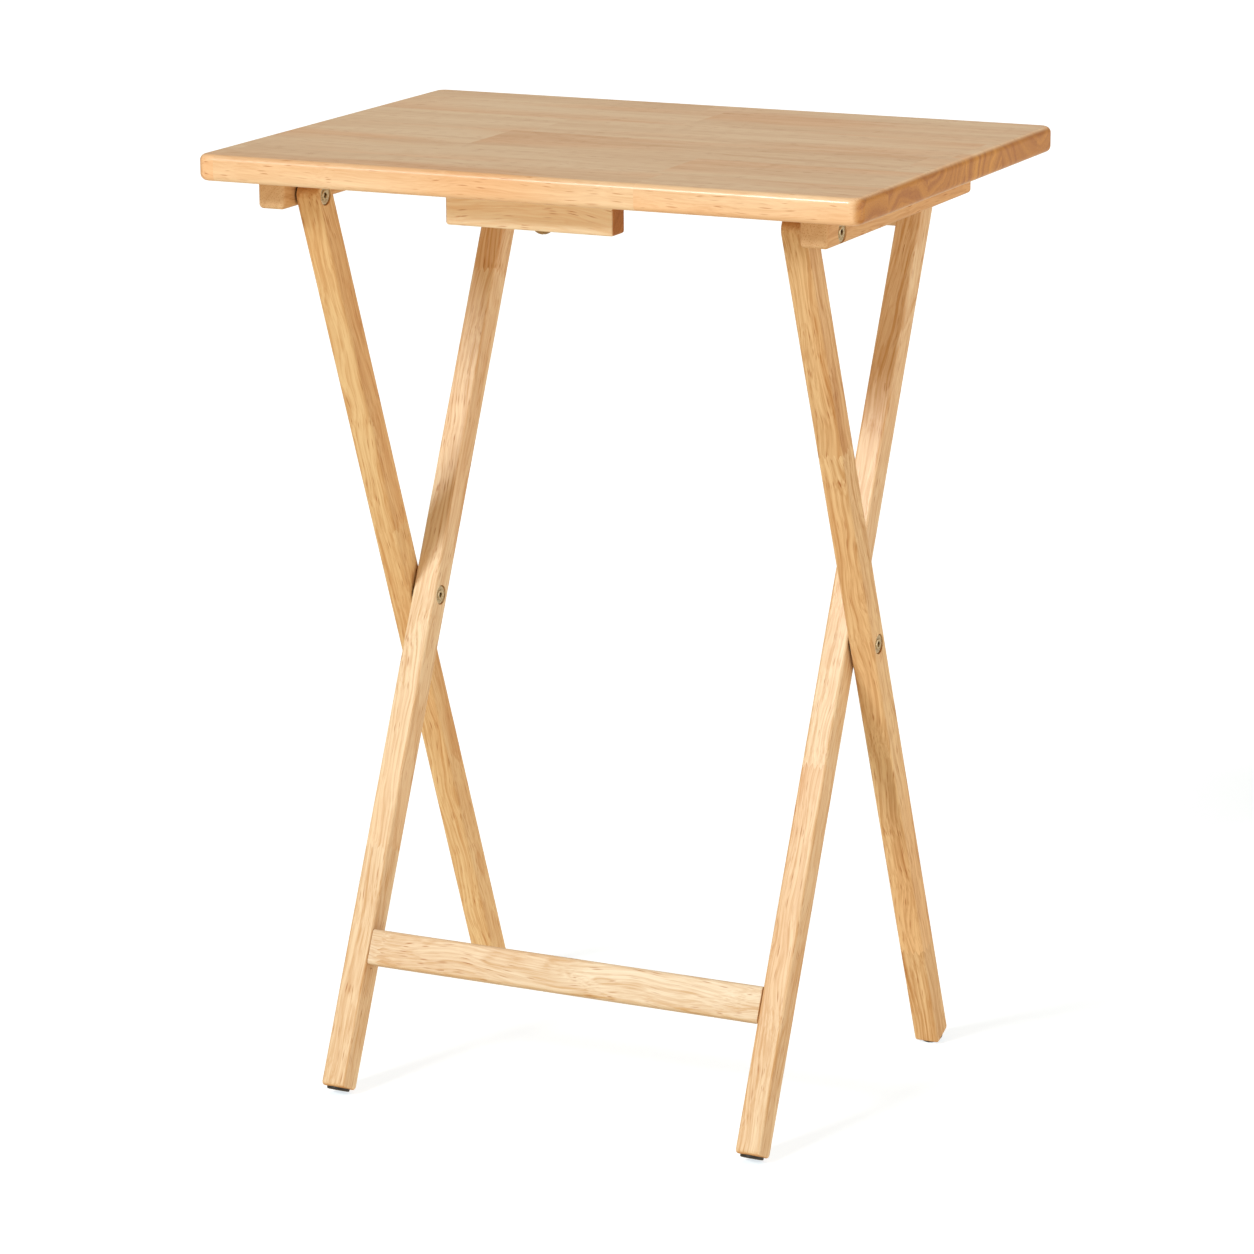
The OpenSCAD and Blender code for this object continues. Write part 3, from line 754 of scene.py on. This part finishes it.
def make_block():
    """The block under the front edge, for the screw that the folded table hangs on."""
    piece = hung_bar("hanger_block", X, -Y, BLOCK_EDGE, 61)
    even_normals(piece)
    # Its colours carry painted light, set against the shadow of the top on its front.
    material = wood("hanger_block_grain_painted_light", 61, BLOCK_PAINTED_LIGHT)
    finish(piece, material, "top", "hanger_block")


def catch_outline(low, high):
    """Side view of a catch: a long foot against the top with a hook below its middle."""
    foot = high.z - CATCH_FOOT
    front, back = RAIL.y - CATCH_FRONT, RAIL.y + CATCH_BACK
    corners = [(low.y, high.z), (low.y, foot + CATCH_BEND), (low.y + CATCH_BEND, foot), (front, foot),
               (front, low.z + CATCH_TIP), (front + CATCH_TIP, low.z),
               (back - CATCH_TIP, low.z), (back, low.z + CATCH_TIP),
               (back, foot), (high.y - CATCH_BEND, foot), (high.y, foot + CATCH_BEND), (high.y, high.z)]
    middle = (low + high) / 2
    return [(y - middle.y, z - middle.z) for y, z in corners]


def make_catches():
    """Hooks whose slots hold the latch rail."""
    rail_radius = fitted("latch_rail", X, UP_INNER)[1].z
    for name, side in SIDES.items():
        node = f"{name}_catch"
        low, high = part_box(node)
        middle = (low + high) / 2
        bm = prism(catch_outline(low, high), (high.x - low.x) / 2, CATCH_EDGE)
        piece = piece_from(bm, node + "_wood", Matrix.Translation(middle) @ turned_to(Y, X).to_4x4())
        cutters = [slot_cutter(middle.x, rail_radius + SLOT_EASE)]
        for y in screw_places("catch_screws"):
            at = Vector((middle.x, y, high.z - CATCH_FOOT))
            cutters.append(countersink(facing(at, -Z), SCREW_HEAD + PLAY, SCREW_SINK["catch"]))
        carve(piece, cutters)
        even_normals(piece)
        # The catches' ends carry the same painted light as the cleats' ends.
        finish(piece, wood(f"{name}_catch_grain_painted_light_ends", 71 + side, BATTEN_PAINTED_LIGHT_ENDS), "top", node)


def slot_cutter(x, radius):
    """Round-ended slot from the rail's place, down and to the front."""
    bm = prism(rounded_outline(SLOT_REACH, radius, [radius] * 4, steps=12), SLOT_REACH)
    opening = Vector((0, -math.cos(SLOT_ANGLE), -math.sin(SLOT_ANGLE)))
    place = Matrix.Translation(Vector((x, RAIL.y, RAIL.z)) + opening * (SLOT_REACH - radius))
    return piece_from(bm, "cutter", place @ turned_to(opening, X).to_4x4())


def make_dowels():
    """The dowels keep their CAD shape and only get their wood."""
    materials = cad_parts["stretcher_dowels"].data.materials
    materials.clear()
    materials.append(wood("dowel_grain", 81, PALE))


# ---- hardware ----

def screw_places(node):
    """Where the screws of a node are along y, read from the points of their heads."""
    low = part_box(node)[0]
    heads = [v.co.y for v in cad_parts[node].data.vertices if v.co.z < low.z + 0.1 * MM]
    places = []
    for y in sorted(heads):
        if not places or y - places[-1][-1] > SCREW_HEAD:
            places.append([])
        places[-1].append(y)
    return [(group[0] + group[-1]) / 2 for group in places]


def join(pieces, name):
    """Makes one object of several, with its origin where the first one has it."""
    bpy.ops.object.select_all(action="DESELECT")
    for piece in pieces:
        piece.select_set(True)
    bpy.context.view_layer.objects.active = pieces[0]
    bpy.ops.object.join()
    pieces[0].name = name
    return pieces[0]


def head_stations(length, shank, hollow=0):
    """Profile of a bolt or cap nut, from the bottom of its socket to the end of its shank. The wood's
    face is at height 0. Round the socket are a raised ring, a groove and a domed brim."""
    top = -HEAD_SINK
    back = top - HEAD_THICK
    socket = [(0, top - SOCKET_DEPTH, 0), (SOCKET, top - SOCKET_DEPTH, 6), (SOCKET, top - 0.15 * MM, 6)]
    ring = [(2.75 * MM, top), (3.25 * MM, top), (3.6 * MM, top - 0.3 * MM)]
    groove = [(3.75 * MM, top - 0.75 * MM), (4.1 * MM, top - 0.8 * MM)]
    brim = [(HEAD_RIM - 0.7 * MM, top - 0.45 * MM), (HEAD_RIM - 0.2 * MM, top - 0.55 * MM),
            (HEAD_RIM, top - 0.9 * MM), (HEAD_RIM, back)]
    stem = [(shank, back), (shank, 0.5 * MM - length), (shank - 0.5 * MM, -length)]
    bore = [(hollow, -length), (hollow, top - 4 * MM), (0, top - 4 * MM)] if hollow else [(0, -length)]
    return socket + plain(ring + groove + brim + stem + bore)


def make_bolts():
    """Pivot bolts from the outside and their cap nuts from the inside."""
    for name, side in SIDES.items():
        for joint, body, pivot in (("top", "top", TOP_PIVOT), ("cross", "outer_frame", CROSSING)):
            for kind, looks in (("bolt", side), ("nut", -side)):
                node = f"{name}_{joint}_{kind}"
                low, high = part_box(node)
                face = (high.x if looks == RIGHT else low.x) - looks * HEAD_PROUD
                length = high.x - low.x - HEAD_PROUD
                shank, hollow = (BOLT_SHANK, 0) if kind == "bolt" else (NUT_BARREL, BOLT_SHANK + PLAY)
                bm = turning(head_stations(length, shank, hollow))
                piece = piece_from(bm, node + "_head", facing(pivot + face * X, looks * X), HEAD_CRISP)
                finish(piece, BRASS, body, node)


def make_washers():
    """Thin rings between the top and the outer legs, and between the two pairs of legs."""
    for name in SIDES:
        for joint, body in (("top", "top"), ("cross", "outer_frame")):
            node = f"{name}_{joint}_washer"
            low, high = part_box(node)
            half = (high.x - low.x) / 2
            rim = (high.z - low.z) / 2
            bore = NUT_BARREL + PLAY
            ease = 0.2 * MM
            bm = turning(plain([(bore, -half), (rim - ease, -half), (rim, -half + ease),
                                (rim, half - ease), (rim - ease, half), (bore, half), (bore, -half)]))
            place = Matrix.Translation(centre(node)) @ turned_to(Z, X).to_4x4()
            piece = piece_from(bm, node + "_ring", place)
            finish(piece, NYLON, body, node)


def make_screws(kind):
    """Countersunk cross-head wood screws, points up, through both cleats or both catches."""
    node = f"{kind}_screws"
    low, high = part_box(node)
    length = high.z - low.z
    reach = abs(centre(f"left_{kind}").x)
    neck, point = 2.4 * MM, 6 * MM
    pieces = []
    for x in (-reach, reach):
        for y in screw_places(node):
            at = Vector((x, y, low.z))
            bm = turning(plain([(0, 0), (SCREW_HEAD, 0), (SCREW_SHANK, neck),
                                (SCREW_SHANK, length - point), (0, length)]), segments=32)
            piece = piece_from(bm, "screw", Matrix.Translation(at))
            carve(piece, cross_cutters(at, degrees=20, length=4.6 * MM, width=0.8 * MM, depth=1.6 * MM))
            pieces.append(piece)
    finish(join(pieces, f"{kind}_screw_set"), YELLOW_ZINC, "top", node)


def cross_cutters(at, degrees, length, width, depth):
    """Cutters for the two arms of a cross slot in a head that faces down."""
    cutters = []
    for angle in (degrees, degrees + 90):
        bm = prism(rounded_outline(length / 2, width / 2, [width * 0.45] * 4, steps=3), depth)
        turn = Matrix.Rotation(math.radians(angle), 4, "Z")
        cutters.append(piece_from(bm, "cutter", Matrix.Translation(at) @ turn))
    return cutters


def make_hanger_screw():
    """Round-headed cross-head screw up through the hanger block."""
    low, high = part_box("hanger_screw")
    length = high.z - low.z
    rim = (high.x - low.x) / 2
    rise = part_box("hanger_block")[0].z - low.z
    dome = (rim * rim + rise * rise) / (2 * rise)
    shank, tip, point = 2.4 * MM, 0.4 * MM, 7 * MM
    head = [(dome * math.sin(a), dome - dome * math.cos(a)) for a in arc_steps(8, math.asin(rim / dome))]
    stem = [(shank, rise), (shank, length - point), (tip, length), (0, length)]
    at = centre("hanger_screw")
    at.z = low.z
    piece = piece_from(turning(plain(head + stem)), "hanger_screw_head", Matrix.Translation(at))
    carve(piece, cross_cutters(at, degrees=35, length=6 * MM, width=1.1 * MM, depth=1.5 * MM))
    finish(piece, BROWN_BRASS, "top", "hanger_screw")


def glide_disc(half):
    """A low disc with a rounded rim and a dip in the middle for the nail. It faces -x."""
    rim, soft, dip, dip_depth = half.z, 0.8 * MM, 2.6 * MM, 1.1 * MM
    arc = [(rim - soft + soft * math.sin(a), -half.x + soft - soft * math.cos(a)) for a in arc_steps(5)]
    inside = [(dip, -half.x + dip_depth), (dip, -half.x)]
    bm = turning(plain(inside + arc + [(rim, half.x), (dip, half.x), inside[0]]), segments=64)
    lengthwise(bm)
    return bm


def nail():
    """A nail with a low domed head at the origin and its point along x."""
    shank, rim, point = 1 * MM, 2.5 * MM, 2 * MM
    head = [(0, 0), (1.6 * MM, 0.05 * MM), (2.4 * MM, 0.35 * MM), (rim, 0.8 * MM), (rim, 1 * MM)]
    stem = [(shank, 1 * MM), (shank, NAIL_LENGTH - point), (0, NAIL_LENGTH)]
    bm = turning(plain(head + stem), segments=32)
    lengthwise(bm)
    return bm


def make_glides():
    """Round plastic glides, each held by a nail through its middle."""
    for kind, body, up in (("outer", "outer_frame", UP_OUTER), ("inner", "inner_frame", UP_INNER)):
        nails = []
        for name in SIDES:
            node = f"{name}_{kind}_glide"
            place, half = fitted(node, up, X)
            bm = glide_disc(half)
            bm.transform(place)
            piece = piece_from(bm, node + "_disc", Matrix.Identity(4))
            finish(piece, GLIDE_PLASTIC, body, node)
            nails.append(piece_from(nail(), "nail", place @ Matrix.Translation((-half.x, 0, 0))))
        pair = join(nails, f"{kind}_glide_nail_pair")
        finish(pair, BRIGHT_ZINC, body, f"{kind}_glide_nails")


make_top()
make_legs()
make_stretcher()
make_rail()
make_cleats()
make_block()
make_catches()
make_bolts()
make_washers()
make_hanger_screw()
make_screws("cleat")
make_screws("catch")
make_glides()
make_dowels()


# ---- stage ----

FLOOR_REACH = 14          # metres to where the floor starts to curve up
FLOOR_BEND = 4            # radius of that curve in metres
CAMERA_PLACE = (1.3149, -2.7648, 1.1125)
CAMERA_TURN = 25.54       # degrees from straight ahead towards the left
CAMERA_TILT = -14.55      # degrees up from level
CAMERA_ROLL = -0.37
CAMERA_LENS = 130.1       # millimetres


def make_floor():
    """A white floor that curves up into a wall all round. It gives no light to the object and casts no
    shadow: the world's lower half stands for its bounce."""
    sweep = [(FLOOR_REACH + FLOOR_BEND * math.sin(a), FLOOR_BEND - FLOOR_BEND * math.cos(a))
             for a in arc_steps(8)]
    wall = (FLOOR_REACH + FLOOR_BEND, FLOOR_REACH)
    bm = turning(plain([(0, 0)] + sweep + [wall]), segments=96)
    floor = piece_from(bm, "floor", Matrix.Identity(4))
    floor.visible_diffuse = False
    floor.visible_glossy = False
    floor.visible_shadow = False
    material, surface = new_material("floor_paper")
    surface.inputs["Base Color"].default_value = (0.5, 0.5, 0.5, 1)
    surface.inputs["Roughness"].default_value = 0.9
    surface.inputs["Emission Color"].default_value = (0.87, 0.945, 1, 1)
    surface.inputs["Emission Strength"].default_value = 0.8
    floor.data.materials.append(material)


def make_world():
    """Dim warm ceiling, brighter warm light from below, and a white backdrop behind the table."""
    world = bpy.data.worlds.new("studio")
    world.use_nodes = True
    tree = world.node_tree
    sky = add(tree, "TexCoord").outputs["Generated"]
    aim = add(tree, "SeparateXYZ", {0: sky}).outputs
    light = blend(tree, between(tree, aim[2], -0.15, 0.1), (0.79, 0.65, 0.46, 1), (0.36, 0.27, 0.17, 1))
    light = blend(tree, between(tree, aim[1], 0.6, 0.95, 0.0, 0.5), light, (0.55, 0.5, 0.45, 1))
    tree.links.new(light, tree.nodes["Background"].inputs["Color"])
    bpy.context.scene.world = world


def make_sun(name, power, spread, azimuth, height, colour):
    """Soft light from far away. Azimuth turns from the front (-Y) towards the right (+X). Spread,
    azimuth and height are in degrees."""
    light = bpy.data.lights.new(name, "SUN")
    light.energy = power
    light.color = colour
    light.angle = math.radians(spread)
    sun = bpy.data.objects.new(name, light)
    azimuth, height = math.radians(azimuth), math.radians(height)
    towards = Vector((math.sin(azimuth), -math.cos(azimuth), math.tan(height)))
    sun.rotation_euler = towards.to_track_quat("Z", "Y").to_euler()
    bpy.context.scene.collection.objects.link(sun)


def make_camera():
    """A long lens from the front right, a little above the top."""
    lens = bpy.data.cameras.new("camera")
    lens.sensor_width = 36
    lens.lens = CAMERA_LENS
    lens.clip_end = 100
    camera = bpy.data.objects.new("camera", lens)
    turn = Matrix.Rotation(math.radians(CAMERA_TURN), 4, "Z")
    tilt = Matrix.Rotation(math.radians(90 + CAMERA_TILT), 4, "X")
    roll = Matrix.Rotation(math.radians(CAMERA_ROLL), 4, "Z")
    camera.matrix_world = Matrix.Translation(CAMERA_PLACE) @ turn @ tilt @ roll
    bpy.context.scene.collection.objects.link(camera)
    bpy.context.scene.camera = camera


make_floor()
make_world()
make_sun("key", power=1.98, spread=14, azimuth=-22, height=35, colour=(0.94, 0.99, 0.99))
make_sun("front_fill", power=0.3, spread=50, azimuth=0, height=4, colour=(1, 0.88, 0.66))
make_sun("side_fill", power=1.15, spread=70, azimuth=100, height=12, colour=(1, 0.98, 0.93))
make_camera()
bpy.context.scene.view_settings.view_transform = "Standard"
